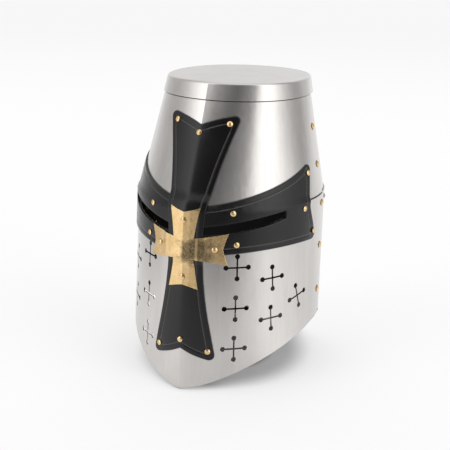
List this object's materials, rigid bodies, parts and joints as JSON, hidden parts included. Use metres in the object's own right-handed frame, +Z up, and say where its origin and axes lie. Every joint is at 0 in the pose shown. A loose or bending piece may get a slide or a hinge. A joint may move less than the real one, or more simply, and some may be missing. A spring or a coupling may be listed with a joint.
{
  "type": "great helm",
  "caption": "Flat-topped riveted great helm with sights, crosslet breaths, a leather and brass cross, an inner liner and a hinged chin strap.",
  "frame": {"origin": "middle of the footprint, on the surface that the helm stands on", "axes": "+Z up to the crown, -Y towards the face, +X to the right as seen by someone facing the helm"},
  "size_m": [0.2184, 0.252, 0.3285],
  "materials": {
    "steel": "satin, faint upright grain",
    "steel_rivet": "satin",
    "black_leather": "smooth black, tooled border line",
    "brown_leather": "plain",
    "brass": "satin, mottled",
    "brass_rivet": "polished"
  },
  "bodies": {
    "root": {"arm_burrs_left": "brass_rivet", "arm_burrs_right": "brass_rivet", "arm_rivets_left": "brass_rivet", "arm_rivets_right": "brass_rivet", "brass_cross": "brass", "cross_burrs": "brass_rivet", "cross_rivets": "brass_rivet", "crown_plate": "steel", "leather_arm_left": "black_leather", "leather_arm_right": "black_leather", "leather_upright": "black_leather", "liner_band": "brown_leather", "liner_lobe_left_1": "brown_leather", "liner_lobe_left_2": "brown_leather", "liner_lobe_left_3": "brown_leather", "liner_lobe_left_4": "brown_leather", "liner_lobe_right_1": "brown_leather", "liner_lobe_right_2": "brown_leather", "liner_lobe_right_3": "brown_leather", "liner_lobe_right_4": "brown_leather", "liner_patch": "brown_leather", "liner_rivets": "steel_rivet", "lower_back_plate": "steel", "lower_front_plate": "steel", "patch_rivets": "brass_rivet", "ring_rivets": "steel_rivet", "side_rivets_left": "brass_rivet", "side_rivets_right": "brass_rivet", "strap_burrs": "brass_rivet", "strap_pivot_rivets": "brass_rivet", "strap_spacers": "brass_rivet", "upper_back_plate": "steel", "upper_front_plate": "steel", "upright_burrs": "brass_rivet", "upright_rivets": "brass_rivet"},
    "chin_strap": {"strap_left": "brown_leather", "strap_right": "brown_leather", "buckle_frame": "brass", "strap_keeper": "brown_leather"},
    "buckle_prong": {"buckle_prong": "brass"}
  },
  "joints": [
    {"name": "chin_strap_swing", "type": "hinge", "parent": "root", "child": "chin_strap", "pos_m": [0, -0.01261, 0.1672], "axis": [1, 0, 0], "range_deg": [-28, 55]},
    {"name": "prong_lift", "type": "hinge", "parent": "chin_strap", "child": "buckle_prong", "pos_m": [-0.004, -0.01261, 0.05705], "axis": [0, 1, 0], "range_deg": [0, 15]}
  ]
}
